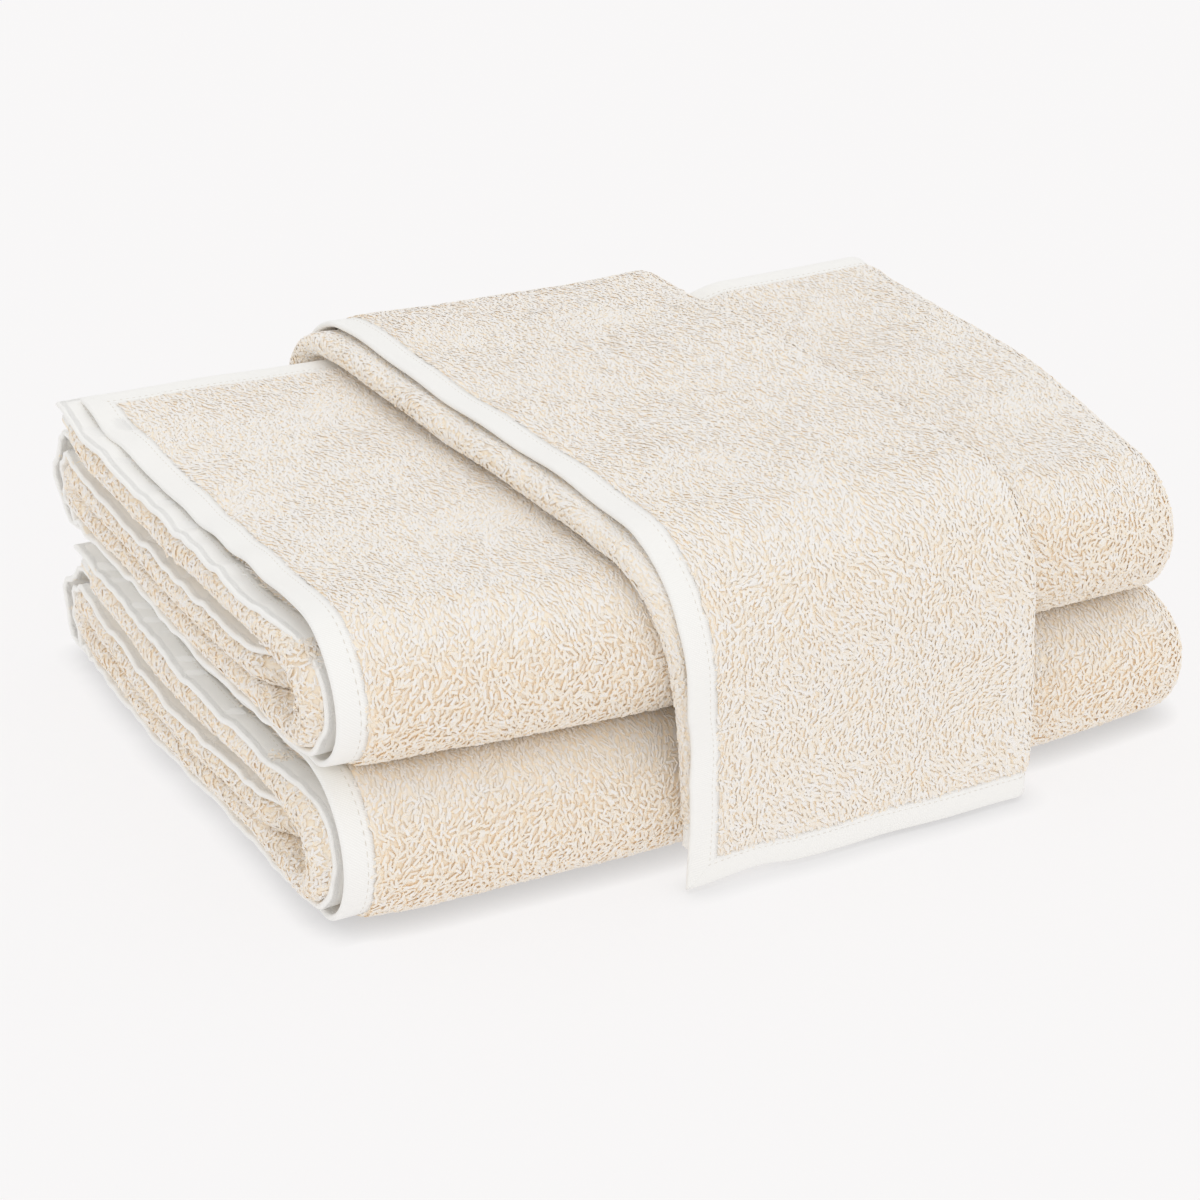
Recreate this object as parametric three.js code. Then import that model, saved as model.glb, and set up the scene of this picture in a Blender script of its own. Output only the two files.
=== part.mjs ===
// Bath towel set: two terry bath towels, each folded into a package and stacked, with a hand
// towel folded in thirds and draped over the stack. Every edge is bound with a woven tape.
// Millimetres, +Z up. X runs along the stack, the rounded folds face -Y. The origin is the
// centre of the footprint, on the floor.
//
// Each towel is one flat sheet (u along one side, v along the other, t through its thickness)
// bent twice: first along a path in the x-h plane, then along a path in the y-z plane, where
// h is how far a ply lies out from the inner face of its stack of plies.

import * as THREE from "three";
import { mergeVertices } from "three/addons/utils/BufferGeometryUtils.js";

// Driving dimensions
const BATH_TOWEL = { length: 1470, width: 760 };
const HAND_TOWEL_WIDTH = 460;
const PLY_PITCH = 5; // what one lofty ply takes up in a fold
const TERRY_THICKNESS = 4.3;
const HEM = { thickness: 1.4, slope: 2 }; // terry pressed flat inside the tape, then rising
const TAPE = { width: 12.7, thickness: 0.4, halfHeight: 1.4 };
const SEAM = { inset: 1.2, size: 0.3, run: 0.5 }; // distance in from the tape's inner edge
const GAP = 0.3; // between pieces that touch
const SECOND_END_REACH = 8.5; // the second short end lies this far outside the first
const BACK_EDGE_REACH = 8; // the top long edge passes the back fold's centre by this
const TUCK_CLEARANCE = 1; // the inner long edge stops this short of the front fold
const HAND_CLEARANCE = 1.8; // the draped towel's loft over the stack
const HAND_REAR_BEND = { radius: 18.8, inset: 3 }; // of its inner face, over the back edges
const HAND_HEM_HEIGHT = 8; // its two hems hang this far above the floor
const HAND_LEFT = 127; // its left edge at the front, from the stack's first tape
const HAND_SKEW = -0.07; // sideways drift for each millimetre towards the back
const FOLD_STEPS = { tight: 4, wide: 8 }; // facets in a half turn

// Sizes that follow from those
const BATH_PLIES = 4; // the length is halved twice
const BATH_THIRDS = 3; // then the strip is folded like a letter
const HAND_THIRDS = 3; // its width
const PACKAGE_HEIGHT = BATH_PLIES * BATH_THIRDS * PLY_PITCH;
const HALF_TURN = Math.PI;

// A planar path of straight runs and round bends, which a sheet follows.
class FoldedPath {
  constructor(start, heading, runs) {
    this.runs = [];
    let [a, b] = start;
    let distance = 0;
    for (const run of runs) {
      const length = run.turn ? Math.abs(run.turn) * run.radius : run.length;
      this.runs.push({ ...run, a, b, heading, distance, span: length });
      [a, b] = this.along(this.runs.at(-1), length, 0);
      heading += run.turn ?? 0;
      distance += length;
    }
    this.length = distance;
  }

  along(run, travelled, offset) {
    if (!run.turn) {
      return [
        run.a + travelled * Math.cos(run.heading) - offset * Math.sin(run.heading),
        run.b + travelled * Math.sin(run.heading) + offset * Math.cos(run.heading),
      ];
    }
    const side = Math.sign(run.turn);
    const centreA = run.a - side * run.radius * Math.sin(run.heading);
    const centreB = run.b + side * run.radius * Math.cos(run.heading);
    const angle = run.heading + (side * travelled) / run.radius;
    const reach = run.radius - side * offset;
    return [
      centreA + side * reach * Math.sin(angle),
      centreB - side * reach * Math.cos(angle),
    ];
  }

  // The point at a distance along the path, moved sideways to its left by offset.
  at(distance, offset) {
    const run = this.runs.findLast((r) => r.distance <= distance + 1e-9) ?? this.runs[0];
    return this.along(run, distance - run.distance, offset);
  }

  // Distances at which a mesh bends: the ends of the runs and the steps in each bend.
  get stations() {
    return this.runs.flatMap((run) => {
      const steps = run.steps ?? 1;
      return Array.from({ length: steps }, (_, k) => run.distance + (run.span * k) / steps);
    });
  }
}

const straight = (length) => ({ length });
const bend = (turn, radius, steps) => ({ turn, radius, steps });

// A bath towel: its length halved twice, then the four-ply strip folded in thirds.
function foldBathTowel(floor) {
  const p = PLY_PITCH;
  const cloth = BATH_TOWEL.length - HALF_TURN * p * (1.5 + 0.5 + 0.5);
  const ply = (cloth - SECOND_END_REACH) / BATH_PLIES;
  const lengthPath = new FoldedPath([0, 3.5 * p], 0, [
    straight(ply),
    bend(-HALF_TURN, 1.5 * p, FOLD_STEPS.tight),
    straight(ply),
    bend(-HALF_TURN, 0.5 * p, FOLD_STEPS.tight),
    straight(ply),
    bend(HALF_TURN, 0.5 * p, FOLD_STEPS.tight),
    straight(ply + SECOND_END_REACH),
  ]);
  const spare = BATH_TOWEL.width - HALF_TURN * p * (4 + 2);
  const third = (spare - BACK_EDGE_REACH + TUCK_CLEARANCE) / BATH_THIRDS;
  const sectionPath = new FoldedPath([third + BACK_EDGE_REACH, floor + 10 * p], Math.PI, [
    straight(third + BACK_EDGE_REACH),
    bend(HALF_TURN, 4 * p, FOLD_STEPS.wide),
    straight(third),
    bend(HALF_TURN, 2 * p, FOLD_STEPS.wide),
    straight(third - TUCK_CLEARANCE),
  ]);
  return { lengthPath, sectionPath, neutral: 2 * p, skew: 0, third };
}

// The hand towel: its width in thirds, then hung over the stack from back to front.
function foldHandTowel(stack) {
  const q = PLY_PITCH;
  const ply = (HAND_TOWEL_WIDTH - HALF_TURN * q * (1 + 0.5)) / HAND_THIRDS;
  const lengthPath = new FoldedPath([HAND_LEFT, 2.5 * q], 0, [
    straight(ply),
    bend(-HALF_TURN, q, FOLD_STEPS.tight),
    straight(ply + q),
    bend(-HALF_TURN, 0.5 * q, FOLD_STEPS.tight),
    straight(ply - q),
  ]);
  const neutral = 1.5 * q;
  const quarter = Math.PI / 2;
  const frontRadius = PACKAGE_HEIGHT / 2 + HAND_CLEARANCE;
  const top = 2 * PACKAGE_HEIGHT + HAND_CLEARANCE;
  const rearRadius = HAND_REAR_BEND.radius;
  const span = stack.third + HAND_REAR_BEND.inset;
  const sectionPath = new FoldedPath([span + rearRadius + neutral, HAND_HEM_HEIGHT], quarter, [
    straight(top - rearRadius - HAND_HEM_HEIGHT),
    bend(quarter, rearRadius + neutral, FOLD_STEPS.tight),
    straight(span),
    bend(quarter, frontRadius + neutral, FOLD_STEPS.tight),
    straight(top - frontRadius - HAND_HEM_HEIGHT),
  ]);
  return { lengthPath, sectionPath, neutral, skew: HAND_SKEW };
}

// Where a point of the flat sheet lies once folded.
function place(fold, u, v, t) {
  const [x, h] = fold.lengthPath.at(u, t);
  const [y, z] = fold.sectionPath.at(v, fold.neutral - h);
  return new THREE.Vector3(x + fold.skew * y, y, z);
}

// The geometry as one indexed body whose faces point out, whichever way the fold turned it.
function closedBody(source) {
  source.deleteAttribute("normal");
  source.deleteAttribute("uv");
  const geometry = mergeVertices(source, 1e-4);
  const corners = geometry.getAttribute("position");
  const index = geometry.getIndex();
  const triangle = [new THREE.Vector3(), new THREE.Vector3(), new THREE.Vector3()];
  let volume = 0;
  for (let k = 0; k < index.count; k += 3) {
    triangle.forEach((corner, c) => corner.fromBufferAttribute(corners, index.getX(k + c)));
    volume += triangle[0].dot(triangle[1].clone().cross(triangle[2]));
  }
  if (volume < 0) {
    for (let k = 0; k < index.count; k += 3) {
      const first = index.getX(k);
      index.setX(k, index.getX(k + 1));
      index.setX(k + 1, first);
    }
  }
  geometry.computeVertexNormals();
  return geometry;
}

// The places along one side of a sheet where its mesh has a row: the hem, the slope up from it
// to full thickness, and the bends.
function rowsAlong(path, hemRows) {
  const inner = path.stations.filter((s) => s > hemRows.at(-1) && s < path.length - hemRows.at(-1));
  return [...hemRows, ...inner, ...hemRows.map((w) => path.length - w).reverse()];
}

// The terry cloth, thin inside the tape and full beyond it.
function terryCloth(fold) {
  const clear = TAPE.width + GAP;
  const hemRows = [TAPE.thickness + GAP, clear, clear + HEM.slope];
  const us = rowsAlong(fold.lengthPath, hemRows);
  const vs = rowsAlong(fold.sectionPath, hemRows);
  const [columns, rows] = [us.length - 1, vs.length - 1];
  const geometry = new THREE.BoxGeometry(columns, rows, 1, columns, rows, 1);
  const corners = geometry.getAttribute("position");
  for (let k = 0; k < corners.count; k += 1) {
    const i = Math.round(corners.getX(k) + columns / 2);
    const j = Math.round(corners.getY(k) + rows / 2);
    const inHem = Math.min(i, j, columns - i, rows - j) < 2;
    const half = (inHem ? HEM.thickness : TERRY_THICKNESS) / 2;
    const point = place(fold, us[i], vs[j], Math.sign(corners.getZ(k)) * half);
    corners.setXYZ(k, point.x, point.y, point.z);
  }
  return closedBody(geometry);
}

// The four sides of a sheet. Each turns a distance along the side and one in from the edge
// into the sheet's own u and v.
function sidesOf(fold) {
  const [lengthEnd, widthEnd] = [fold.lengthPath.length, fold.sectionPath.length];
  return [
    { name: "first_end", path: fold.sectionPath, uv: (s, w) => [w, s] },
    { name: "second_end", path: fold.sectionPath, uv: (s, w) => [lengthEnd - w, s] },
    { name: "outer_side", path: fold.lengthPath, uv: (s, w) => [s, w] },
    { name: "inner_side", path: fold.lengthPath, uv: (s, w) => [s, widthEnd - w] },
  ];
}

// A profile in the w-t plane, run along one side and bent with the sheet. Each end stops where
// endInset says for that point of the profile.
function runAlongSide(fold, side, profile, endInset) {
  const clear = TAPE.width + GAP;
  const inner = side.path.stations.filter((s) => s > clear && s < side.path.length - clear);
  const steps = inner.length + 1;
  const geometry = new THREE.ExtrudeGeometry(profile, { depth: steps, steps, bevelEnabled: false });
  const corners = geometry.getAttribute("position");
  for (let k = 0; k < corners.count; k += 1) {
    const [w, t] = [corners.getX(k), corners.getY(k)];
    const step = Math.round(corners.getZ(k));
    const ends = { 0: endInset(w), [steps]: side.path.length - endInset(w) };
    const [u, v] = side.uv(ends[step] ?? inner[step - 1], w);
    const point = place(fold, u, v, t);
    corners.setXYZ(k, point.x, point.y, point.z);
  }
  return closedBody(geometry);
}

const outline = (points) => new THREE.Shape(points.map(([w, t]) => new THREE.Vector2(w, t)));

// The tape is folded over the edge, so its section is a U lying on its side.
function tapeProfile() {
  const { width, thickness, halfHeight } = TAPE;
  const inside = halfHeight - thickness;
  return outline([
    [0, -halfHeight],
    [width, -halfHeight],
    [width, -inside],
    [thickness, -inside],
    [thickness, inside],
    [width, inside],
    [width, halfHeight],
    [0, halfHeight],
  ]);
}

// The line of sewing thread on the tape's outer face.
function seamProfile() {
  const w = TAPE.width - SEAM.inset;
  const t = TAPE.halfHeight + GAP;
  return outline([
    [w - SEAM.run / 2, t],
    [w + SEAM.run / 2, t],
    [w + SEAM.run / 2, t + SEAM.size],
    [w - SEAM.run / 2, t + SEAM.size],
  ]);
}

const mitre = (w) => w + 0.75 * GAP;
const seamEnd = () => TAPE.width - SEAM.inset + SEAM.run / 2 + GAP;

const terry = new THREE.MeshStandardMaterial({ color: 0xefe4d2, roughness: 0.95, metalness: 0 });
const tape = new THREE.MeshStandardMaterial({ color: 0xf4f3ee, roughness: 0.8, metalness: 0 });
const thread = new THREE.MeshStandardMaterial({ color: 0xfaf9f5, roughness: 0.7, metalness: 0 });

// One towel's pieces: the cloth, four tapes and four seams.
function towel(name, fold) {
  const group = new THREE.Group();
  const add = (piece, geometry, material) => {
    const mesh = new THREE.Mesh(geometry, material);
    mesh.name = `${name}_${piece}`;
    group.add(mesh);
  };
  add("terry", terryCloth(fold), terry);
  for (const side of sidesOf(fold)) {
    add(`tape_${side.name}`, runAlongSide(fold, side, tapeProfile(), mitre), tape);
    add(`seam_${side.name}`, runAlongSide(fold, side, seamProfile(), seamEnd), thread);
  }
  return group;
}

const lowerFold = foldBathTowel(0);
const upperFold = foldBathTowel(PACKAGE_HEIGHT);
const set = new THREE.Group();
set.add(towel("lower_bath_towel", lowerFold));
set.add(towel("upper_bath_towel", upperFold));
set.add(towel("hand_towel", foldHandTowel(upperFold)));

// Stand the set on the floor with the centre of its footprint at the origin.
const extent = new THREE.Box3().setFromObject(set);
const middle = extent.getCenter(new THREE.Vector3());
set.position.set(-middle.x, -middle.y, -extent.min.z);

export default set;
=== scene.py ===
import math

import bpy
import numpy as np
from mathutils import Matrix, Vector
from mathutils.bvhtree import BVHTree


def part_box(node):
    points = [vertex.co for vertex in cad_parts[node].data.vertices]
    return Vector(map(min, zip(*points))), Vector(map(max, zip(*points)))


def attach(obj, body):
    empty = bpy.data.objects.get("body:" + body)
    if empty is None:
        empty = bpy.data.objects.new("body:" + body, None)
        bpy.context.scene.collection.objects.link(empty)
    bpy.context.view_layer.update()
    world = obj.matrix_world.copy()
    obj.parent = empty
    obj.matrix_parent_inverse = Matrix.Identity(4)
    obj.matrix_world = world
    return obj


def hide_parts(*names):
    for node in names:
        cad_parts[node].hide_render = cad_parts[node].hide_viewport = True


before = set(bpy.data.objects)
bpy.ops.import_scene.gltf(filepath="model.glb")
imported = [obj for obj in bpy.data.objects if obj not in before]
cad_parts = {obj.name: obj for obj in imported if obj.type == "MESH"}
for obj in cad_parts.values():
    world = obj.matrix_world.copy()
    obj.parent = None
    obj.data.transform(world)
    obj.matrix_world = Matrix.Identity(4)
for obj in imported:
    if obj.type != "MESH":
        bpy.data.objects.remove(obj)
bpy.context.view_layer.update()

# Two bath towels and a hand towel of looped terry. Each towel is one flat sheet, with u along
# its length and v along its width in metres, bent first in the x-h plane and then in the y-z
# plane, where h is how far a ply lies out from the inner face of its stack of plies. Cloth,
# tape, stitches and pile are all laid on that bent sheet.

MM = 0.001

# ---- sizes read from the frame ----
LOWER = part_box("lower_bath_towel_terry")
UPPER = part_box("upper_bath_towel_terry")
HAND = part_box("hand_towel_terry")
PACKAGE_HEIGHT = UPPER[0].z - LOWER[0].z
PLY = PACKAGE_HEIGHT / 12  # four plies in each of three thirds
PLY_SLACK = 0.35 * MM  # between each face of the CAD cloth and the edge of its ply
FRONT_CENTRE_Y = LOWER[0].y + 6 * PLY - PLY_SLACK
RIGHT_CENTRE_X = LOWER[1].x - 2 * PLY + PLY_SLACK

# ---- the cloth ----
BATH_LENGTH, BATH_WIDTH = 1.470, 0.760
HAND_WIDTH = 0.460
SECOND_END_REACH = 8.5 * MM  # the second short end lies this far outside the first
SET_BACK = {"lower": 0.0, "upper": 5 * MM}  # of the front at the left end
BACK_EDGE_REACH = {"lower": -4 * MM, "upper": 6 * MM}  # top long edge past the fold's centre
TUCK_CLEARANCE = 1 * MM
CLOTH_HALF = 1.6 * MM  # half the cloth's thickness up to the feet of its loops
HEM_HALF = 0.80 * MM
TAPE_WIDTH = 11.8 * MM  # of which the pile hides about the last millimetre
TAPE_HALF = 1.25 * MM
TAPE_THICK = 0.35 * MM
STITCH_PITCH = 2.6 * MM
STITCH_INSET = 3.0 * MM  # of the seam, from the tape's inner edge
SEAM_DIP = 0.28  # share of the tape's height that the seam presses in
THREAD_HEIGHT = 0.76 * TAPE_HALF
OPEN_END_DEPTH = 0.055  # how far in from the open left end the plies part

# ---- the pile ----
YARN_RADIUS = 0.58 * MM
RINGS = 2  # three-sided rings in one loop of yarn
RING_END = 0.23  # share of the loop's run before its first ring
LOOP_REACH = 4.4 * MM
# Spacing of the loops that show at rest, of more of them in the folds, and of the hidden ones.
LOOP_KINDS = (("fine", 1.52 * MM), ("fold", 2.0 * MM), ("plain", 3.7 * MM))
MAX_LOOPS = 12000  # in one piece, to keep it light
# The last yarn tone is painted shade for the ends and undersides of the loops; the pale one is also a
# painted highlight where the pile faces up.
PALE_TONE, PAINTED_SHADE_TONE = 2, 3  # of YARN_TONES
SHOWN_PILE, HIDDEN_PILE = 1.1 * MM, 0.7 * MM  # the tallest loops of each
LEAST_PILE = 0.45 * MM
EXPOSURE_STEP = 9 * MM  # of the grid on which it is worked out what can be seen
LOOK_TILTS = (0.0, 40.0, 65.0)  # degrees from straight out
LOOK_START = 1.1 * MM  # out from the cloth's middle
OPEN_DISTANCE = 0.06  # a look that gets this far is clear


def rng(*key):
    """A random stream of its own for each use, the same on every run."""
    return np.random.default_rng([7, *key])


def smooth_step(x, start, end):
    s = np.clip((x - start) / (end - start), 0, 1)
    return s * s * (3 - 2 * s)


def smooth_max(x, least, blend):
    """The larger of x and least, with the corner rounded off over about blend."""
    return (x + least + np.sqrt((x - least) ** 2 + blend ** 2)) / 2


def bump(x, centre, width):
    return np.exp(-(((x - centre) / width) ** 2))


def waves(coords, length, seed, count=7):
    """Smooth noise, mostly between -1 and 1: a sum of plane waves about length apart."""
    draw = rng(11, seed)
    total = 0
    for _ in range(count):
        way = draw.normal(size=len(coords))
        way /= np.linalg.norm(way)
        k = 2 * math.pi / (length * draw.uniform(0.7, 1.5))
        total = total + np.sin(k * sum(w * c for w, c in zip(way, coords)) + draw.uniform(0, 6.3))
    return total / math.sqrt(count)


class FoldedPath:
    """A planar path of straight runs and round bends, which a sheet follows."""

    def __init__(self, start, heading, runs):
        a, b = start
        distance, rows = 0.0, []
        for length, turn in runs:
            rows.append((distance, a, b, heading, turn / length if turn else 0.0))
            a, b = (float(c) for c in self._along(*rows[-1], length, 0.0))
            heading += turn
            distance += length
        self.runs = np.array(rows)
        self.length = distance

    @staticmethod
    def _along(_start, a, b, heading, curve, travelled, offset):
        safe = np.where(curve == 0, 1.0, curve)
        angle = heading + travelled * curve
        bent_a = a + (np.sin(angle) - np.sin(heading)) / safe - offset * np.sin(angle)
        bent_b = b - (np.cos(angle) - np.cos(heading)) / safe + offset * np.cos(angle)
        flat_a = a + travelled * np.cos(heading) - offset * np.sin(heading)
        flat_b = b + travelled * np.sin(heading) + offset * np.cos(heading)
        bent = curve != 0
        return np.where(bent, bent_a, flat_a), np.where(bent, bent_b, flat_b)

    def at(self, distance, offset):
        """The point at a distance along the path, moved sideways to its left by offset."""
        run = np.clip(np.searchsorted(self.runs[:, 0], distance, side="right") - 1, 0, None)
        start, a, b, heading, curve = np.moveaxis(self.runs[run], -1, 0)
        return self._along(start, a, b, heading, curve, distance - start, offset)

    def span(self, index):
        """Where one run starts and ends."""
        ends = [*self.runs[:, 0], self.length]
        return ends[index], ends[index + 1]

    def in_bend(self, distance, margin):
        """Whether a distance along the path lies in or near one of its bends."""
        spans = [self.span(k) for k in np.flatnonzero(self.runs[:, 4])]
        near = [(distance > start - margin) & (distance < end + margin) for start, end in spans]
        return np.logical_or.reduce(near)

    def stations(self, step, bend_steps):
        """Distances for mesh rows: about step apart on the straights, bend_steps in a bend."""
        out = []
        for k, curve in enumerate(self.runs[:, 4]):
            start, end = self.span(k)
            count = bend_steps if curve else max(1, math.ceil((end - start) / step))
            out.append(np.linspace(start, end, count, endpoint=False))
        return np.concatenate([*out, [self.length]])


def straight(length):
    return length, 0.0


def bend(turn, radius):
    return abs(turn) * radius, turn


class Towel:
    """A sheet on its two paths. middle() gives the bent middle surface, at() adds a height."""

    def __init__(self, name, body, strip, section, neutral, shape):
        self.name, self.body = name, body
        self.strip, self.section = strip, section
        self.neutral, self.shape = neutral, shape
        self.length, self.width = strip.length, section.length
        self.combed = 0.0  # how far its upright faces are smoothed too

    def middle(self, u, v):
        u, v = np.broadcast_arrays(np.asarray(u, float), np.asarray(v, float))
        x, h = self.strip.at(u, 0.0)
        return self.shape(self, u, v, x, h)

    def frames(self, u, v):
        """Middle points with the unit vectors along u, along v and out of the + face."""
        step = 0.4 * MM
        along = self.middle(u + step, v) - self.middle(u - step, v)
        across = self.middle(u, v + step) - self.middle(u, v - step)
        along /= np.linalg.norm(along, axis=-1, keepdims=True)
        across /= np.linalg.norm(across, axis=-1, keepdims=True)
        normal = np.cross(across, along)
        normal /= np.linalg.norm(normal, axis=-1, keepdims=True)
        return self.middle(u, v), along, across, normal

    def at(self, u, v, t):
        points, _, _, normal = self.frames(u, v)
        return points + np.asarray(t)[..., None] * normal

    def edge_distance(self, u, v):
        return np.minimum(np.minimum(u, self.length - u), np.minimum(v, self.width - v))

    def half_thickness(self, u, v):
        """Of the cloth up to the feet of its loops: thin under the tape, full just beyond it."""
        rise = smooth_step(self.edge_distance(u, v), TAPE_WIDTH - 1.0 * MM, TAPE_WIDTH + 2.2 * MM)
        return HEM_HALF + (CLOTH_HALF - HEM_HALF) * rise


# ---- shapes of the folded towels ----


def by_ply(h, values):
    """A value for each of the four plies, inner one first, run smoothly between them."""
    places = [0.5 * PLY, 1.5 * PLY, 2.5 * PLY, 3.5 * PLY]
    total = 0
    for k, value in enumerate(values):
        weight = np.interp(h, places, [1.0 if j == k else 0.0 for j in range(4)])
        total = total + weight * value
    return total


def settle(points):
    """How the whole stack has settled: one smooth move of space, the same for every towel."""
    x, y, z = points[..., 0], points[..., 1], points[..., 2]
    height = (z - LOWER[0].z) / (2 * PACKAGE_HEIGHT)
    hand_x = (HAND[0].x + HAND[1].x) / 2
    front = 1 - smooth_step(y, FRONT_CENTRE_Y - 4 * PLY, FRONT_CENTRE_Y + 0.12)
    mid = (LOWER[0].x + LOWER[1].x) / 2
    half = (LOWER[1].x - LOWER[0].x) / 2
    barrel = 1 - ((x - mid) / half) ** 2
    right = smooth_step(x, RIGHT_CENTRE_X - 0.06, RIGHT_CENTRE_X + 2 * PLY)
    left = 1 - smooth_step(x, LOWER[0].x, LOWER[0].x + 0.07)
    hollow = left * bump(y, UPPER[1].y - 0.10, 0.060)
    rear = smooth_step(y, UPPER[1].y - 0.10, UPPER[1].y - 0.02)
    under_hand = smooth_step(x, HAND[0].x + 0.02, HAND[1].x - 0.03)
    beyond_hand = smooth_step(x, HAND[1].x - 0.02, HAND[1].x + 0.01)
    dragged = rear * under_hand * (1 - beyond_hand)  # where the draped towel weighs on the back
    sink = 0.030 * bump(x, hand_x, 0.10) + 0.045 * right * front + 0.052 * hollow + 0.048 * dragged
    out = points.copy()
    out[..., 2] = LOWER[0].z + (z - LOWER[0].z) * (1 - sink)
    out[..., 1] = y - 4 * MM * barrel * front + 5 * MM * right * front
    pulled = 1.5 * MM - 9.5 * MM * smooth_step(height, 0.30, 0.65)  # the upper towel stands back
    out[..., 0] = x + 1.6 * MM * waves((y, z), 0.16, 1) * (0.3 + 0.7 * left) + pulled * right * front
    out[..., 1] += 1.2 * MM * waves((x, z), 0.20, 2)
    out[..., 2] += 1.0 * MM * waves((x, y), 0.17, 3) * height
    return out


# How far each ply (two of the inner fold, second end, first end) stands from its even place at
# the open left end, in the top, bottom and middle thirds.
OPEN_PLIES = {
    "top": (-1.7 * MM, 2.2 * MM, 1.5 * MM, 0.3 * MM),
    "bottom": (-0.2 * MM, 1.6 * MM, 0.8 * MM, -0.3 * MM),
    "middle": (-0.2 * MM, 1.8 * MM, 0.4 * MM, -1.7 * MM),
}
# The same for the long gaps beside the front shoulder, under the towel and at the back fold.
SHOULDER_GAP = (-0.5 * MM, -1.4 * MM, -4.2 * MM, 1.2 * MM)
UNDER_GAP = (-0.9 * MM, -2.0 * MM, -3.4 * MM, 0.2 * MM)
HEEL_GAP = (0.0, 0.0, -1.5 * MM, 2.5 * MM)
SLIPPED_PLIES = (1.0 * MM, 3.0 * MM, 5.5 * MM, 0.0)  # along v at the left, inner ply first
LOWEST_MIDDLE = 2.9 * MM  # of a ply that lies on whatever is below, above the towel's floor
FOLD_BULGE = 1.3  # how much further the inner fold's loop swells out than a round one


def bend_middles(towel):
    """The middles, along v, of the front bend and of the back bend or heel."""
    return tuple(sum(towel.section.span(run)) / 2 for run in (1, 3))


def parted_plies(towel, v, h, rim, open_end, top):
    """How far the plies stand from their even places near the open left end."""
    top_end, front_end = towel.section.span(1)
    back_start, _ = towel.section.span(3)
    _, heel = bend_middles(towel)
    middle = smooth_step(v, heel - 8 * MM, heel + 8 * MM)
    opened = (
        top * by_ply(h, OPEN_PLIES["top"])
        + (1 - top - middle) * by_ply(h, OPEN_PLIES["bottom"])
        + middle * by_ply(h, OPEN_PLIES["middle"])
    )
    gaps = (
        (bump(v, top_end - 0.012, 0.062), SHOULDER_GAP),
        (bump(v, (front_end + back_start) / 2 + 0.01, 0.085), UNDER_GAP),
        (bump(v, heel, 0.018), HEEL_GAP),
    )
    parted = sum(weight * by_ply(h, gap) for weight, gap in gaps)
    return rim * opened + open_end * parted


def cloth_waves(towel, u, v, open_end):
    """Small waves all over, more of them along the short ends, and puckers where those turn back."""
    _, heel = bend_middles(towel)
    ripple = waves((u, v), 0.050, 20 + towel.seed) * 0.35 * MM * (0.35 + 0.65 * open_end)
    at_second_end = bump(towel.length - u, 0, 0.013)
    wrinkle = at_second_end * 0.4 * MM * waves((v,), 0.014, 50 + towel.seed, 4)
    edge = bump(np.minimum(u, towel.length - u), 0, 0.016)
    scallop = edge * 0.7 * MM * waves((v,), 0.036, 30 + towel.seed, 3)
    pucker = edge * 2.2 * MM * bump(v, heel, 0.018) * np.sin(v * 2 * math.pi / (9.5 * MM))
    return ripple + scallop + wrinkle + pucker


def press_back(towel, y, z, top):
    """Keeps every ply above the towel's floor. At the back, the top third's plies lie closer
    together and the fold below them swells."""
    rear = smooth_step(y, towel.rear_y - 0.045, towel.rear_y - 0.008)
    height = smooth_max(z - towel.floor, LOWEST_MIDDLE, 0.8 * MM)
    pressed = 12 * PLY - (12 * PLY - height) * (1 - 0.42 * rear)
    swollen = height * (1 + 0.20 * rear)
    return towel.floor + top * pressed + (1 - top) * swollen


def bath_shape(towel, u, v, x, h):
    """A bath towel's plies: tight inside the package and parted at its open left end."""
    left = LOWER[0].x + SECOND_END_REACH
    open_end = bump(np.maximum(x - left, 0), 0, OPEN_END_DEPTH)
    rim = 1 - smooth_step(x, left + 5 * MM, left + 26 * MM)
    front, heel = bend_middles(towel)
    top = 1 - smooth_step(v, front - 20 * MM, front + 20 * MM)
    inner_fold, second, first = (by_ply(h, w) for w in ((1, 1, 0, 0), (0, 0, 1, 0), (0, 0, 0, 1)))
    skewed = (RIGHT_CENTRE_X - x) / (RIGHT_CENTRE_X - left)
    slip = by_ply(h, SLIPPED_PLIES) * np.clip(skewed, 0, 1.1)
    x = x - inner_fold * FOLD_BULGE * np.maximum(left - x, 0)
    x = x + open_end * (second * 7 * MM * bump(v, front, 0.045) - first * 9 * MM * bump(v, heel, 0.018))
    x = x + open_end * 12 * MM * smooth_step(v, towel.width - 0.035, towel.width - 0.005)
    h = h + parted_plies(towel, v, h, rim, open_end, top) + cloth_waves(towel, u, v, open_end)
    y, z = towel.section.at(v - slip, towel.neutral - h)
    z = press_back(towel, y, z, top)
    at_left = 1 - smooth_step(x, left, left + 0.16)
    at_front = 1 - smooth_step(y, FRONT_CENTRE_Y, FRONT_CENTRE_Y + 0.1)
    return settle(np.stack([x, y + towel.set_back * at_left * at_front, z], axis=-1))


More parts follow.
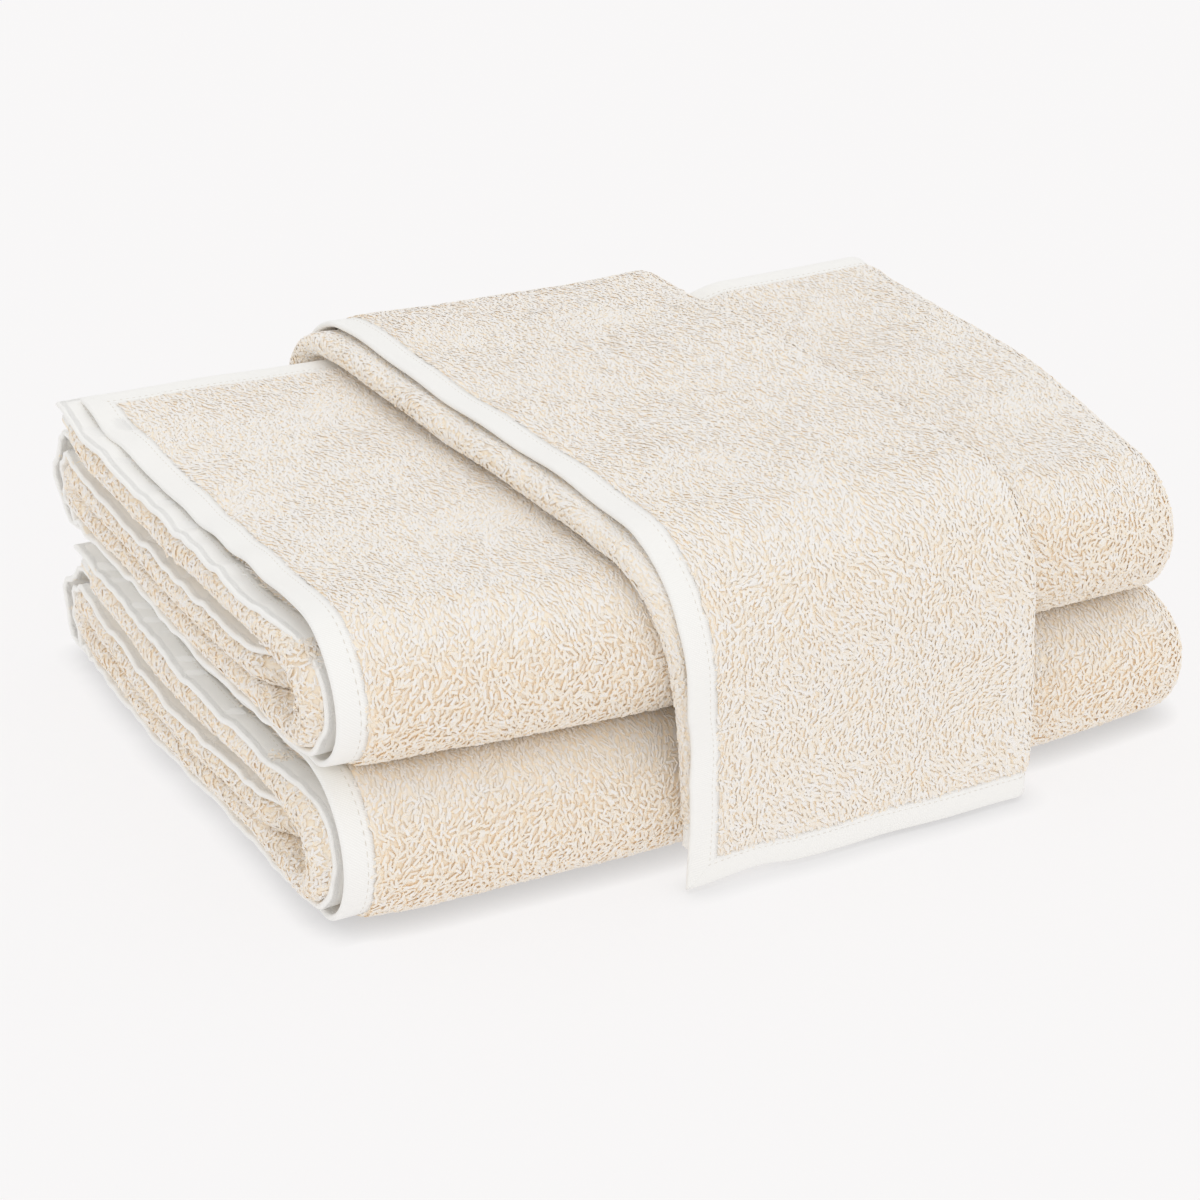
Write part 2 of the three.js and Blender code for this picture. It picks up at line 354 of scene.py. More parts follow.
def hand_shape(towel, u, v, x, h):
    """The hand towel's plies, drawn a little askew over the stack, with wavy free edges. Its
    folded plies ride up and in behind the top one at the left of the front hem."""
    free = bump(np.minimum(u, towel.length - u), 0, 0.03)
    h = h + 0.4 * MM * waves((u, v), 0.06, 41) + free * 0.7 * MM * waves((v,), 0.05, 42, 4)
    drop_start, _ = towel.section.span(3)
    under = np.clip(2.5 - h / PLY, 0, 1)
    at_left = 1 - smooth_step(x, HAND_FRONT_X + 0.02, HAND_FRONT_X + 0.12)
    askew = under * at_left * smooth_step(v, drop_start - 0.05, towel.width)
    y, z = towel.section.at(v - 13 * MM * askew, towel.neutral - h)
    skew = (HAND_REAR_X - HAND_FRONT_X) / (HAND[1].y - HAND[0].y)
    x = x + skew * (y - HAND[0].y) + 1.2 * MM * waves((v,), 0.12, 43, 4) + 12 * MM * askew
    return settle(np.stack([x, y, z], axis=-1))


def bath_towel(which, box, seed):
    floor = box[0].z - PLY_SLACK
    ply_run = (BATH_LENGTH - math.pi * PLY * 2.5 - SECOND_END_REACH) / 4
    left = RIGHT_CENTRE_X - ply_run
    strip = FoldedPath((left, 3.5 * PLY), 0.0, [
        straight(ply_run),
        bend(-math.pi, 1.5 * PLY),
        straight(ply_run),
        bend(-math.pi, 0.5 * PLY),
        straight(ply_run),
        bend(math.pi, 0.5 * PLY),
        straight(ply_run + SECOND_END_REACH),
    ])
    reach = BACK_EDGE_REACH[which]
    third = (BATH_WIDTH - math.pi * PLY * 6 - reach + TUCK_CLEARANCE) / 3
    section = FoldedPath((FRONT_CENTRE_Y + third + reach, floor + 10 * PLY), math.pi, [
        straight(third + reach),
        bend(math.pi, 4 * PLY),
        straight(third),
        bend(math.pi, 2 * PLY),
        straight(third - TUCK_CLEARANCE),
    ])
    name = f"{which}_bath_towel"
    towel = Towel(name, name, strip, section, 2 * PLY, bath_shape)
    towel.seed, towel.floor = seed, floor
    towel.rear_y = FRONT_CENTRE_Y + third + 4 * PLY
    towel.set_back = SET_BACK[which]
    return towel


HAND_LOFT = 1.8 * MM  # of the draped towel over the stack
HAND_TOP = 2 * PACKAGE_HEIGHT + HAND_LOFT
HAND_FRONT_X = HAND[0].x + 18.8 * MM  # it lies askew, with its front this far to the right
HAND_REAR_X = HAND[0].x


def hand_towel():
    ply_run = (HAND_WIDTH - math.pi * PLY * 1.5) / 3
    strip = FoldedPath((HAND_FRONT_X + 1.4 * PLY, 2.5 * PLY), 0.0, [
        straight(ply_run),
        bend(-math.pi, PLY),
        straight(ply_run + PLY),
        bend(-math.pi, 0.5 * PLY),
        straight(ply_run - PLY),
    ])
    neutral = 1.5 * PLY
    front_radius = PACKAGE_HEIGHT / 2 + HAND_LOFT
    rear_radius = 18.8 * MM
    rear_hem, front_hem = 8 * MM, 1.8 * MM
    span = HAND[1].y - 3 * PLY + PLY_SLACK - rear_radius - FRONT_CENTRE_Y
    start = (FRONT_CENTRE_Y + span + rear_radius + neutral, rear_hem)
    section = FoldedPath(start, math.pi / 2, [
        straight(HAND_TOP - rear_radius - rear_hem),
        bend(math.pi / 2, rear_radius + neutral),
        straight(span),
        bend(math.pi / 2, front_radius + neutral),
        straight(HAND_TOP - front_radius - front_hem),
    ])
    towel = Towel("hand_towel", "hand_towel", strip, section, neutral, hand_shape)
    towel.combed = 0.5
    return towel


# ---- meshes ----


def mesh_object(name, points, faces, smooth=True):
    """An object from arrays of points and of equal-sided faces."""
    sides = faces.shape[1]
    mesh = bpy.data.meshes.new(name)
    mesh.vertices.add(len(points))
    mesh.vertices.foreach_set("co", np.ascontiguousarray(points, np.float32).ravel())
    mesh.loops.add(faces.size)
    mesh.loops.foreach_set("vertex_index", faces.astype(np.int32).ravel())
    mesh.polygons.add(len(faces))
    mesh.polygons.foreach_set("loop_start", np.arange(0, faces.size, sides, dtype=np.int32))
    mesh.polygons.foreach_set("use_smooth", np.full(len(faces), smooth))
    mesh.update(calc_edges=True)
    piece = bpy.data.objects.new(name, mesh)
    bpy.context.scene.collection.objects.link(piece)
    return piece


def add_uvs(piece, uvs):
    """Flat places in metres at each face corner, for the woven textures."""
    layer = piece.data.uv_layers.new(name="weave")
    layer.data.foreach_set("uv", uvs.astype(np.float32).ravel())


def grid_quads(index):
    """Quads of a grid whose points are numbered by index."""
    corners = [index[:-1, :-1], index[:-1, 1:], index[1:, 1:], index[1:, :-1]]
    return np.stack(corners, axis=-1).reshape(-1, 4)


def tube_faces(rings, sides):
    """Quads between rings of a closed section."""
    ring = np.arange(rings - 1)[:, None] * sides
    side = np.arange(sides)[None, :]
    a, b = ring + side, ring + (side + 1) % sides
    return np.stack([a, b, b + sides, a + sides], axis=-1).reshape(-1, 4)


def with_hem_rows(stations, length):
    """Mesh rows that also follow the tape's edges."""
    beyond_tape = (-0.3 * MM, 0.6 * MM, 1.6 * MM, 3.0 * MM, 6.0 * MM)
    rows = [0.7 * MM, 4 * MM, 8 * MM, *(TAPE_WIDTH + r for r in beyond_tape)]
    inner = stations[(stations > 22 * MM) & (stations < length - 22 * MM)]
    return np.concatenate([rows, inner, [length - r for r in reversed(rows)]])


def terry_cloth(towel, exposure):
    """The ground cloth: one closed sheet, thinner where the tape holds it. Its "shown" value is 1
    where it can be seen at rest, so that its material can stand in for the thin pile elsewhere."""
    us = with_hem_rows(towel.strip.stations(6 * MM, 12), towel.length)
    vs = with_hem_rows(towel.section.stations(6 * MM, 20), towel.width)
    u, v = np.meshgrid(us, vs, indexing="ij")
    half = towel.half_thickness(u, v)
    upper, lower = towel.at(u, v, half), towel.at(u, v, -half)
    rows, columns = u.shape
    points = np.concatenate([upper.reshape(-1, 3), lower.reshape(-1, 3)])
    index = np.arange(rows * columns).reshape(rows, columns)
    quads = grid_quads(index)
    rim = np.concatenate([index[0, :-1], index[:-1, -1], index[-1, :0:-1], index[:0:-1, 0]])
    after = np.roll(rim, -1)
    count = rows * columns
    edge = np.stack([rim, rim + count, after + count, after], axis=-1)
    faces = np.concatenate([quads, quads[:, ::-1] + count, edge])
    piece = mesh_object(f"{towel.name}_cloth", points, faces)
    add_uvs(piece, np.stack([u.ravel(), v.ravel()], -1)[faces.ravel() % count])
    shown = [exposure.read(exposure.together, face, u.ravel(), v.ravel()) for face in (1, -1)]
    values = piece.data.attributes.new("shown", "FLOAT", "POINT")
    values.data.foreach_set("value", np.concatenate(shown).astype(np.float32))
    return piece


SIDES = ("first_end", "second_end", "outer_side", "inner_side")


def side_place(towel, side):
    """The path along one side, and what turns (along, in from the edge) into (u, v)."""
    along_v = side.endswith("end")
    path = towel.section if along_v else towel.strip
    far = towel.length if along_v else towel.width
    near = side in ("first_end", "outer_side")

    def to_uv(s, w):
        inward = w if near else far - w
        return (inward, s) if along_v else (s, inward)

    return path, to_uv


def tape_profile():
    """The folded tape's section in the w-t plane: round over the edge, two thin legs."""
    turn = np.linspace(-math.pi / 2, math.pi / 2, 7)
    radius, inner = TAPE_HALF, TAPE_HALF - TAPE_THICK
    outer_arc = [(radius - radius * math.cos(a), radius * math.sin(a)) for a in turn]
    inner_arc = [(radius - inner * math.cos(a), inner * math.sin(a)) for a in turn[::-1]]
    reach = np.linspace(radius, TAPE_WIDTH, 6)[1:]
    top = [(w, radius) for w in reach]
    bottom = [(w, -radius) for w in reach[::-1]]
    return np.array([*outer_arc, *top, (TAPE_WIDTH, inner), *inner_arc, (TAPE_WIDTH, -inner), *bottom])


def bound_edge(towel, side):
    """One side's tape, mitred at both ends, pressed down along its seam."""
    path, to_uv = side_place(towel, side)
    profile = tape_profile()
    w, t = profile.T
    seam = TAPE_WIDTH - STITCH_INSET
    t = t * (1 - SEAM_DIP * bump(w, seam, 1.1 * MM))
    count = math.ceil(path.length / (2.2 * MM))
    share = np.linspace(0, 1, count)[:, None]
    start, end = w[None, :] + 0.02 * MM, path.length - w[None, :] - 0.02 * MM
    s = start + (end - start) * share
    u, v = to_uv(s, np.broadcast_to(w, s.shape))
    points = towel.at(u, v, np.broadcast_to(t, s.shape)).reshape(-1, 3)
    sides = len(w)
    faces = tube_faces(count, sides)
    piece = mesh_object(f"{towel.name}_binding_{side}", points, faces)
    around = np.concatenate([[0], np.cumsum(np.hypot(*np.diff(profile, axis=0).T))])
    corners = faces.ravel()
    uvs = np.stack([s.ravel()[corners], np.broadcast_to(around, s.shape).ravel()[corners]], -1)
    add_uvs(piece, uvs)
    return piece


def stitches(towel, side):
    """The lockstitches on both faces of one side's tape, each a small bowed bead of thread."""
    path, to_uv = side_place(towel, side)
    seam = TAPE_WIDTH - STITCH_INSET
    places = np.arange(seam, path.length - seam, STITCH_PITCH)
    along = np.linspace(-0.5, 0.5, 4)
    rise = 0.20 * MM * (1 - (2 * along) ** 2) - 0.10 * MM
    radius = 0.24 * MM * np.sqrt(np.clip(1 - (1.9 * along) ** 2, 0.15, 1))
    angles = np.arange(4) * math.pi / 2
    s = places[:, None, None] + (along * STITCH_PITCH * 0.86)[None, :, None]
    w = seam + radius[None, :, None] * np.cos(angles)[None, None, :]
    t = THREAD_HEIGHT + rise[None, :, None] + radius[None, :, None] * np.sin(angles)
    s, w, t = np.broadcast_arrays(s, w, t)
    u, v = to_uv(s, w)
    points = np.concatenate([towel.at(u, v, face * t).reshape(-1, 3) for face in (1, -1)])
    block = len(along) * len(angles)
    one = tube_faces(len(along), len(angles))
    starts = np.arange(2 * len(places)) * block
    faces = (starts[:, None, None] + one[None]).reshape(-1, 4)
    return mesh_object(f"{towel.name}_stitches_{side}", points, faces)


# ---- pile ----


def coarse_tree(towel):
    """A light copy of the bent cloth, for asking what can be seen."""
    us, vs = towel.strip.stations(14 * MM, 6), towel.section.stations(14 * MM, 8)
    u, v = np.meshgrid(us, vs, indexing="ij")
    grid = towel.middle(u, v)
    index = np.arange(u.size).reshape(u.shape)
    return BVHTree.FromPolygons(grid.reshape(-1, 3).tolist(), grid_quads(index).tolist())


def openness(trees, points, normals, tangents, sides):
    """For each point, whether any look outwards gets clear, and the room straight above it."""
    looks = []
    for tilt in LOOK_TILTS:
        for turn in range(1 if tilt == 0 else 8):
            a, b = math.radians(tilt), turn * math.pi / 4
            looks.append((math.cos(a), math.sin(a) * math.cos(b), math.sin(a) * math.sin(b)))
    seen = np.zeros(len(points), bool)
    room = np.full(len(points), OPEN_DISTANCE)
    for k, (p, n, a, b) in enumerate(zip(points, normals, tangents, sides)):
        start = Vector(p + LOOK_START * n)
        for j, (c, s, r) in enumerate(looks):
            way = Vector(c * n + s * a + r * b)
            hits = [tree.ray_cast(start, way, OPEN_DISTANCE)[3] for tree in trees]
            hits = [hit for hit in hits if hit is not None]
            if j == 0 and hits:
                room[k] = min(hits) + LOOK_START
            if not hits:
                seen[k] = True
                break
    return seen, room


class Exposure:
    """Which parts of a towel's two faces can be seen, on a coarse grid over the flat sheet."""

    def __init__(self, towel, own_tree, all_trees):
        self.step = EXPOSURE_STEP
        self.shape = tuple(math.ceil(side / self.step) + 1 for side in (towel.length, towel.width))
        i, j = np.meshgrid(*(np.arange(n) for n in self.shape), indexing="ij")
        u = np.clip(i * self.step, 1 * MM, towel.length - 1 * MM).ravel()
        v = np.clip(j * self.step, 1 * MM, towel.width - 1 * MM).ravel()
        points, along, across, normal = towel.frames(u, v)
        self.alone, self.together, self.room = {}, {}, {}
        for face in (1, -1):
            frames = (points, face * normal, along, across)
            alone, room = openness([own_tree], *frames)
            together = np.zeros_like(alone)
            together[alone], _ = openness(all_trees, *(part[alone] for part in frames))
            self.alone[face] = alone.reshape(self.shape)
            self.together[face] = together.reshape(self.shape)
            self.room[face] = room.reshape(self.shape)

    def read(self, table, face, u, v):
        """The value at flat places: the most open of the four grid points around."""
        i = np.clip((u / self.step).astype(int), 0, self.shape[0] - 2)
        j = np.clip((v / self.step).astype(int), 0, self.shape[1] - 2)
        grid = table[face]
        around = [grid[i, j], grid[i + 1, j], grid[i, j + 1], grid[i + 1, j + 1]]
        return np.maximum.reduce(around) if grid.dtype == bool else np.minimum.reduce(around)


def loop_roots(towel, exposure, face, spacing, seed):
    """Jittered rows of roots over the shown parts of one face, clear of the tapes."""
    draw = rng(51, seed)
    nu, nv = int(towel.length / spacing), int(towel.width / spacing)
    i, j = np.meshgrid(np.arange(nu), np.arange(nv), indexing="ij")
    u = (i + 0.5 + draw.uniform(-0.42, 0.42, i.shape)).ravel() * spacing
    v = (j + 0.5 + draw.uniform(-0.42, 0.42, j.shape)).ravel() * spacing
    keep = towel.edge_distance(u, v) > TAPE_WIDTH - 0.2 * MM
    keep[keep] = exposure.read(exposure.alone, face, u[keep], v[keep])
    u, v = u[keep], v[keep]
    shown = exposure.read(exposure.together, face, u, v)
    room = exposure.read(exposure.room, face, u, v)
    return u, v, shown, room


def loop_faces():
    """Triangles of one closed loop (a root, RINGS three-sided rings and a tip), and which of them take
    the painted shade tone: the two ends and the underside."""
    last = 3 * RINGS + 1
    faces, painted_shade_faces = [], []
    for side in range(3):
        after = (side + 1) % 3
        faces.append((0, 1 + after, 1 + side))
        faces.append((last, last - 3 + side, last - 3 + after))
        painted_shade_faces += [True, True]
        for ring in range(1, last - 3, 3):
            faces.append((ring + side, ring + after, ring + 3 + after))
            faces.append((ring + side, ring + 3 + after, ring + 3 + side))
            painted_shade_faces += [side == 1, side == 1]
    return np.array(faces), np.array(painted_shade_faces)


def loop_lines(towel, u, v, face, height, draw):
    """The middle line of each loop: it rises from its root, leans over with its neighbours and
    tucks in again. Loops lie flatter and more alike where the towel has been smoothed by hand."""
    n = len(u)
    points, along, across, normal = towel.frames(u, v)
    normal = normal * face
    at_open_end = 1 - smooth_step(points[:, 0], LOWER[0].x + 4 * MM, LOWER[0].x + 16 * MM)
    faces_up = smooth_step(normal[:, 2], 0.25, 0.95)
    smoothed = np.maximum(towel.combed, faces_up) * (1 - at_open_end)
    wild = 1 - 0.45 * smoothed + 0.8 * at_open_end
    flow = 0.75 * waves((u, v), 0.060, 81) + 0.45 * waves((u, v), 0.018, 82)
    lean = math.pi / 2 + flow * (1 - 0.55 * smoothed) + draw.normal(0, 0.60, n) * wild
    way = np.cos(lean)[:, None] * along + np.sin(lean)[:, None] * across
    side = np.cross(normal, way)
    by_tape = 1 - smooth_step(towel.edge_distance(u, v), TAPE_WIDTH, TAPE_WIDTH + 3.5 * MM)
    tall = height * draw.uniform(0.50, 1.0, n) * (1 - 0.65 * smoothed + 0.5 * at_open_end)
    tall = tall * (1 - 0.6 * by_tape)
    wide = LOOP_REACH * draw.uniform(0.75, 1.25, n) * (1 - 0.1 * smoothed)
    s = np.array([0, *np.linspace(RING_END, 1 - RING_END, RINGS), 1])
    tip = draw.uniform(-0.2, 0.6, n)[:, None] * s ** 3
    lift = 1.15 * np.sin(math.pi * s) ** 0.7 - 0.3 * (1 - s) ** 4 + tip
    curl = draw.normal(0, 0.75 * MM, n) * wild
    stray = draw.normal(0, 0.5 * MM, (n, 1)) * wild[:, None]
    bow = np.sin(math.pi * s) * curl[:, None] + (s ** 2) * stray
    foot = towel.half_thickness(u, v)[:, None]
    centre = (
        points[:, None]
        + (foot + tall[:, None] * lift)[..., None] * normal[:, None]
        + ((s - 0.5) * wide[:, None])[..., None] * way[:, None]
        + bow[..., None] * side[:, None]
    )
    return centre, normal, side, smoothed, at_open_end


def loop_skins(centre, normal, side, smoothed, draw):
    """The points of each closed loop of yarn: its root, flat three-sided rings, and its tip."""
    n = len(centre)
    tangent = np.gradient(centre, axis=1)
    flat = np.cross(tangent, normal[:, None] + 0.2 * side[:, None])
    flat /= np.linalg.norm(flat, axis=-1, keepdims=True)
    crest = np.cross(flat, tangent)
    crest /= np.linalg.norm(crest, axis=-1, keepdims=True)
    roll = draw.uniform(-0.5, 0.5, (n, 1))
    size = YARN_RADIUS * draw.uniform(0.85, 1.2, (n, 1))
    depth = size * (0.56 - 0.26 * smoothed[:, None])
    corners = []
    for k in range(3):
        angle = math.pi / 2 + roll + 2 * math.pi * k / 3
        corners.append(
            centre[:, 1:-1]
            + (1.20 * size * np.cos(angle))[..., None] * flat[:, 1:-1]
            + (depth * np.sin(angle))[..., None] * crest[:, 1:-1]
        )
    rings = np.stack(corners, axis=2).reshape(n, -1, 3)
    return np.concatenate([centre[:, :1], rings, centre[:, -1:]], axis=1).reshape(-1, 3)


def loop_tones(smoothed, painted_shade_faces, draw):
    """The tone of each face of each loop. The ends and undersides of most loops get the painted shade
    tone; pile that faces up, is combed or lies at the open end gets fewer of them and more often the
    pale tone, a painted highlight.
    """
    n = len(smoothed)
    pale = draw.random(n) < 0.15 + 0.55 * smoothed
    tone = np.where(pale, PALE_TONE, draw.integers(0, 2, n))
    painted_shade_loops = draw.random(n) > 0.75 * smoothed
    shaded = painted_shade_faces[None, :] & painted_shade_loops[:, None]
    return np.where(shaded, PAINTED_SHADE_TONE, tone[:, None]).astype(np.int32)


def pile_places(towel, exposure, face, kind, spacing, key):
    """The roots of one kind of loops on one face, and how tall each loop may be."""
    u, v, shown, room = loop_roots(towel, exposure, face, spacing, key)
    pick = ~shown if kind == "plain" else shown
    if kind == "fold":
        pick &= towel.strip.in_bend(u, 4 * MM)
    u, v, room = u[pick], v[pick], room[pick]
    tallest = HIDDEN_PILE if kind == "plain" else SHOWN_PILE
    height = np.clip(room / 2 - CLOTH_HALF - 0.25 * MM, LEAST_PILE, tallest)
    order = np.lexsort((v, np.floor(u / 0.12)))
    return u[order], v[order], height[order]


def pile_piece(towel, name, places, face, key, part):
    """One piece of pile, with a tone for each face of its loops."""
    u, v, height = places
    draw = rng(61, 100 * key + part)
    centre, normal, side, smoothed, at_open_end = loop_lines(towel, u, v, face, height, draw)
    points = loop_skins(centre, normal, side, smoothed, draw)
    one, painted_shade_faces = loop_faces()
    starts = np.arange(len(u)) * (3 * RINGS + 2)
    faces = (starts[:, None, None] + one[None]).reshape(-1, 3)
    piece = mesh_object(name, points, faces, smooth=False)
    # Pile at the open end is toned as if partly smoothed: the pale painted highlight more often, the
    # painted shade less.
    tones = loop_tones(np.maximum(smoothed, 0.6 * at_open_end), painted_shade_faces, rng(71, key, part))
    piece.data.polygons.foreach_set("material_index", tones.ravel())
    return piece


def pile_pieces(towel, exposure, seed):
    """The towel's pile, as pieces of a few thousand loops, denser where it shows at rest."""
    pieces = []
    for face, label in ((1, "outer"), (-1, "inner")):
        for which, (kind, spacing) in enumerate(LOOP_KINDS):
            key = seed * 10 + face + which * 3
            places = pile_places(towel, exposure, face, kind, spacing, key)
            count = math.ceil(len(places[0]) / MAX_LOOPS)
            shares = zip(*(np.array_split(values, count) for values in places)) if count else ()
            for part, share in enumerate(shares):
                name = f"{towel.name}_pile_{label}_{kind}_{part + 1:02d}"
                pieces.append(pile_piece(towel, name, share, face, key, part))
    return pieces


# ---- materials ----


def principled(name, colour, roughness, **sockets):
    material = bpy.data.materials.new(name)
    material.use_nodes = True
    shader = material.node_tree.nodes["Principled BSDF"]
    shader.inputs["Base Color"].default_value = (*colour, 1)
    shader.inputs["Roughness"].default_value = roughness
    for socket, value in sockets.items():
        shader.inputs[socket.replace("_", " ")].default_value = value
    return material, material.node_tree, shader


# Three close tones of ivory cotton, the pale third one also a painted highlight on pile that faces up,
# and a warmer painted shade tone for the ends and undersides of the loops.
YARN_TONES = (
    (0.918, 0.864, 0.788),
    (0.913, 0.845, 0.752),
    (0.920, 0.888, 0.850),
    (0.965, 0.855, 0.692),
)


def yarn_materials():
    """The loops' cotton, one plain material for each tone."""
    made = []
    for k, colour in enumerate(YARN_TONES):
        material, _, shader = principled(f"terry_yarn_{k + 1}", colour, 0.9, Sheen_Weight=0.25)
        shader.inputs["Sheen Roughness"].default_value = 0.6
        shader.inputs["Specular IOR Level"].default_value = 0.25
        made.append(material)
    return made


def colour_ramp(tree, *stops):
    """A ramp node with two (position, colour) stops."""
    ramp = tree.nodes.new("ShaderNodeValToRGB")
    for element, (position, colour) in zip(ramp.color_ramp.elements, stops):
        element.position = position
        element.color = (*colour, 1)
    return ramp


def terry_material():
    """The cloth between the loops: more of the same strands, pale in their middles and darker towards
    their edges, a painted shade in the gaps between them. That painted shade is tan where the pile
    shows, and the strands are as pale as the pile itself where that is thin."""
    material, tree, shader = principled("terry_ground", (0.95, 0.87, 0.72), 0.95, Sheen_Weight=0.2)
    uv = tree.nodes.new("ShaderNodeUVMap")
    uv.uv_map = "weave"
    drift = tree.nodes.new("ShaderNodeTexNoise")
    drift.inputs["Scale"].default_value = 60
    sway = tree.nodes.new("ShaderNodeVectorMath")
    sway.operation = "MULTIPLY_ADD"
    sway.inputs[1].default_value = (0.010, 0.010, 0)
    stretch = tree.nodes.new("ShaderNodeMapping")
    stretch.inputs["Scale"].default_value = (900, 280, 1)
    strands = tree.nodes.new("ShaderNodeTexVoronoi")
    strands.inputs["Scale"].default_value = 1
    # Painted shade: each ramp darkens from a strand's middle to the gap at its edge, the first for
    # where the pile shows and the second for where it is thin.
    gaps = colour_ramp(tree, (0.25, (0.97, 0.905, 0.81)), (0.75, (0.965, 0.86, 0.70)))
    alone = colour_ramp(tree, (0.20, (0.93, 0.88, 0.81)), (0.90, (0.84, 0.76, 0.66)))
    shown = tree.nodes.new("ShaderNodeAttribute")
    shown.attribute_name = "shown"
    colour = tree.nodes.new("ShaderNodeMix")
    colour.data_type = "RGBA"
    raised = tree.nodes.new("ShaderNodeBump")
    raised.inputs["Distance"].default_value = 0.6 * MM
    raised.inputs["Strength"].default_value = 0.35
    raised.invert = True
    link = tree.links.new
    link(uv.outputs["UV"], drift.inputs["Vector"])
    link(drift.outputs["Color"], sway.inputs[0])
    link(uv.outputs["UV"], sway.inputs[2])
    link(sway.outputs["Vector"], stretch.inputs["Vector"])
    link(stretch.outputs["Vector"], strands.inputs["Vector"])
    link(strands.outputs["Distance"], gaps.inputs["Fac"])
    link(strands.outputs["Distance"], alone.inputs["Fac"])
    link(shown.outputs["Fac"], colour.inputs["Factor"])
    link(alone.outputs["Color"], colour.inputs["A"])
    link(gaps.outputs["Color"], colour.inputs["B"])
    link(colour.outputs["Result"], shader.inputs["Base Color"])
    link(strands.outputs["Distance"], raised.inputs["Height"])
    link(raised.outputs["Normal"], shader.inputs["Normal"])
    return material


def tape_material():
    """Fine white twill: diagonal ridges about two thirds of a millimetre apart, their grooves a little
    darker, a painted shade.
    """
    material, tree, shader = principled("tape_twill", (0.955, 0.945, 0.92), 0.72, Sheen_Weight=0.15)
    uv = tree.nodes.new("ShaderNodeUVMap")
    uv.uv_map = "weave"
    turn = tree.nodes.new("ShaderNodeMapping")
    turn.inputs["Rotation"].default_value = (0, 0, math.radians(28))
    ribs = tree.nodes.new("ShaderNodeTexWave")
    ribs.inputs["Scale"].default_value = 480
    ribs.inputs["Distortion"].default_value = 0.6
    slub = tree.nodes.new("ShaderNodeTexNoise")
    slub.inputs["Scale"].default_value = 420
    # Painted shade: the colour follows the ribs, darker in the grooves between the raised ridges.
    ramp = colour_ramp(tree, (0, (0.94, 0.926, 0.895)), (1, (0.975, 0.965, 0.94)))
    add = tree.nodes.new("ShaderNodeMath")
    add.operation = "MULTIPLY_ADD"
    add.inputs[1].default_value = 0.5
    raised = tree.nodes.new("ShaderNodeBump")
    raised.inputs["Distance"].default_value = 0.10 * MM
    raised.inputs["Strength"].default_value = 0.5
    link = tree.links.new
    link(uv.outputs["UV"], turn.inputs["Vector"])
    link(turn.outputs["Vector"], ribs.inputs["Vector"])
    link(uv.outputs["UV"], slub.inputs["Vector"])
    link(slub.outputs["Fac"], add.inputs[0])
    link(ribs.outputs["Fac"], add.inputs[2])
    link(ribs.outputs["Fac"], ramp.inputs["Fac"])
    link(ramp.outputs["Color"], shader.inputs["Base Color"])
    link(add.outputs[0], raised.inputs["Height"])
    link(raised.outputs["Normal"], shader.inputs["Normal"])
    return material


def thread_material():
    # The thread is painted darker than the white tape: a painted shade standing for the needle dents
    # along the seam.
    return principled("sewing_thread", (0.80, 0.76, 0.69), 0.6, Sheen_Weight=0.1)[0]


# ---- building each towel ----


def build_towel(towel, exposure, materials, seed):
    cloth = terry_cloth(towel, exposure)
    cloth.data.materials.append(materials["terry"])
    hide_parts(f"{towel.name}_terry")
    extras = []
    for side in SIDES:
        tape = bound_edge(towel, side)
        tape.data.materials.append(materials["tape"])
        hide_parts(f"{towel.name}_tape_{side}")
        seam = stitches(towel, side)
        seam.data.materials.append(materials["thread"])
        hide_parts(f"{towel.name}_seam_{side}")
        extras += [tape, seam]
    for piece in pile_pieces(towel, exposure, seed):
        for material in materials["yarn"]:
            piece.data.materials.append(material)
        extras.append(piece)
    for piece in (cloth, *extras):
        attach(piece, towel.body)
    return cloth, extras


# ---- stage ----


def add_camera():
    azimuth, elevation, distance = math.radians(-27.45), math.radians(26.03), 1.474
    target = Vector((0.009, 0.034, 0.025))
    way = Vector((
        math.sin(azimuth) * math.cos(elevation),
        -math.cos(azimuth) * math.cos(elevation),
        math.sin(elevation),
    ))
    camera = bpy.data.objects.new("camera", bpy.data.cameras.new("camera"))
    camera.location = target + distance * way
    camera.rotation_euler = (-way).to_track_quat("-Z", "Y").to_euler()
    camera.data.lens = 106.8
    camera.data.sensor_width = 36
    bpy.context.scene.collection.objects.link(camera)
    bpy.context.scene.camera = camera


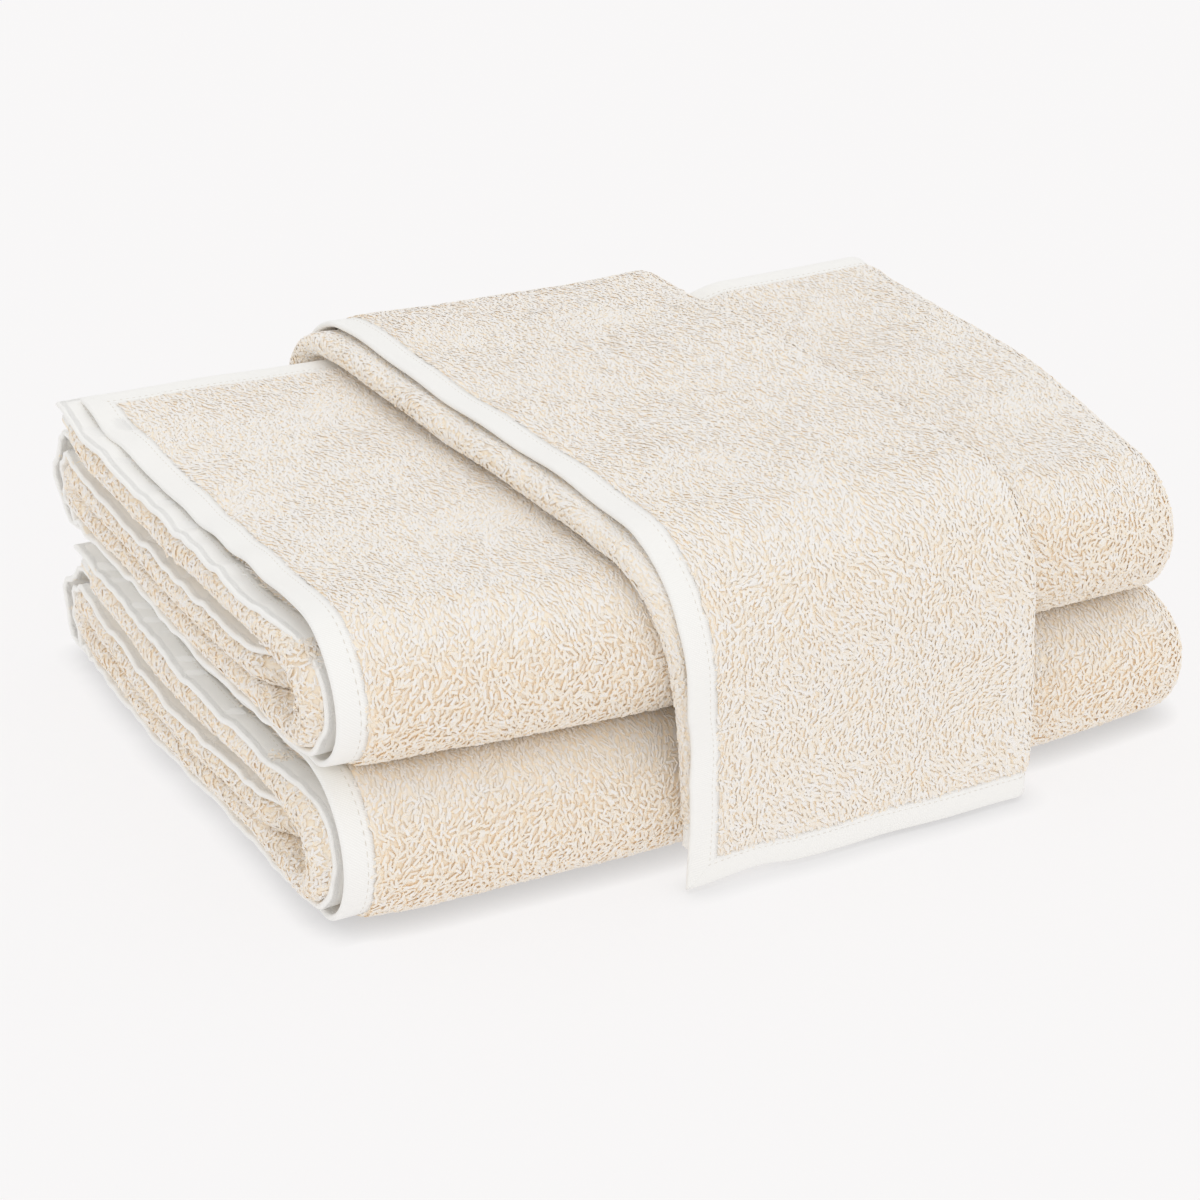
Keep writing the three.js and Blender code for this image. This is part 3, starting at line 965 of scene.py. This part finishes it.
def add_lamp(name, way, power):
    """A broad soft light from far off, in the direction way from the object."""
    lamp = bpy.data.lights.new(name, "SUN")
    lamp.energy, lamp.angle = power, math.radians(70)
    holder = bpy.data.objects.new(name, lamp)
    holder.rotation_euler = Vector(way).to_track_quat("Z", "Y").to_euler()
    bpy.context.scene.collection.objects.link(holder)


def add_stage():
    """A pale floor that glows a little, less so close under the towels, which is a painted contact
    shadow, and even studio light.
    """
    floor = mesh_object(
        "floor",
        np.array([(-6, -6, 0), (6, -6, 0), (6, 6, 0), (-6, 6, 0)], float),
        np.array([(0, 1, 2, 3)]),
        smooth=False,
    )
    material, tree, shader = principled("floor_paper", (0.16, 0.16, 0.16), 0.9)
    shader.inputs["Specular IOR Level"].default_value = 0.0
    shader.inputs["Emission Color"].default_value = (1, 0.985, 0.985, 1)
    # Painted contact shadow: ambient occlusion dims the floor's glow close to the towels.
    painted_contact_shadow = tree.nodes.new("ShaderNodeAmbientOcclusion")
    painted_contact_shadow.inputs["Distance"].default_value = 0.011
    glow = tree.nodes.new("ShaderNodeMath")
    glow.operation = "MULTIPLY_ADD"
    glow.inputs[1].default_value = 0.30
    glow.inputs[2].default_value = 0.49
    tree.links.new(painted_contact_shadow.outputs["AO"], glow.inputs[0])
    tree.links.new(glow.outputs[0], shader.inputs["Emission Strength"])
    floor.data.materials.append(material)
    world = bpy.data.worlds.new("studio")
    world.use_nodes = True
    world.node_tree.nodes["Background"].inputs["Color"].default_value = (1, 1, 1, 1)
    world.node_tree.nodes["Background"].inputs["Strength"].default_value = 0.81
    bpy.context.scene.world = world
    add_lamp("key", (-0.15, -0.75, 0.65), 0.30)
    add_lamp("overhead", (0.25, 0.0, 1.0), 0.28)
    bpy.context.scene.view_settings.view_transform = "Standard"
    bpy.context.scene.cycles.diffuse_bounces = 10


def main():
    add_camera()
    add_stage()
    towels = [bath_towel("lower", LOWER, 1), bath_towel("upper", UPPER, 2), hand_towel()]
    trees = [coarse_tree(towel) for towel in towels]
    ground = BVHTree.FromPolygons([(-1, -1, 0), (1, -1, 0), (1, 1, 0), (-1, 1, 0)], [(0, 1, 2, 3)])
    materials = {
        "terry": terry_material(),
        "tape": tape_material(),
        "thread": thread_material(),
        "yarn": yarn_materials(),
    }
    for k, towel in enumerate(towels):
        exposure = Exposure(towel, trees[k], [*trees, ground])
        cloth, extras = build_towel(towel, exposure, materials, k + 1)


main()
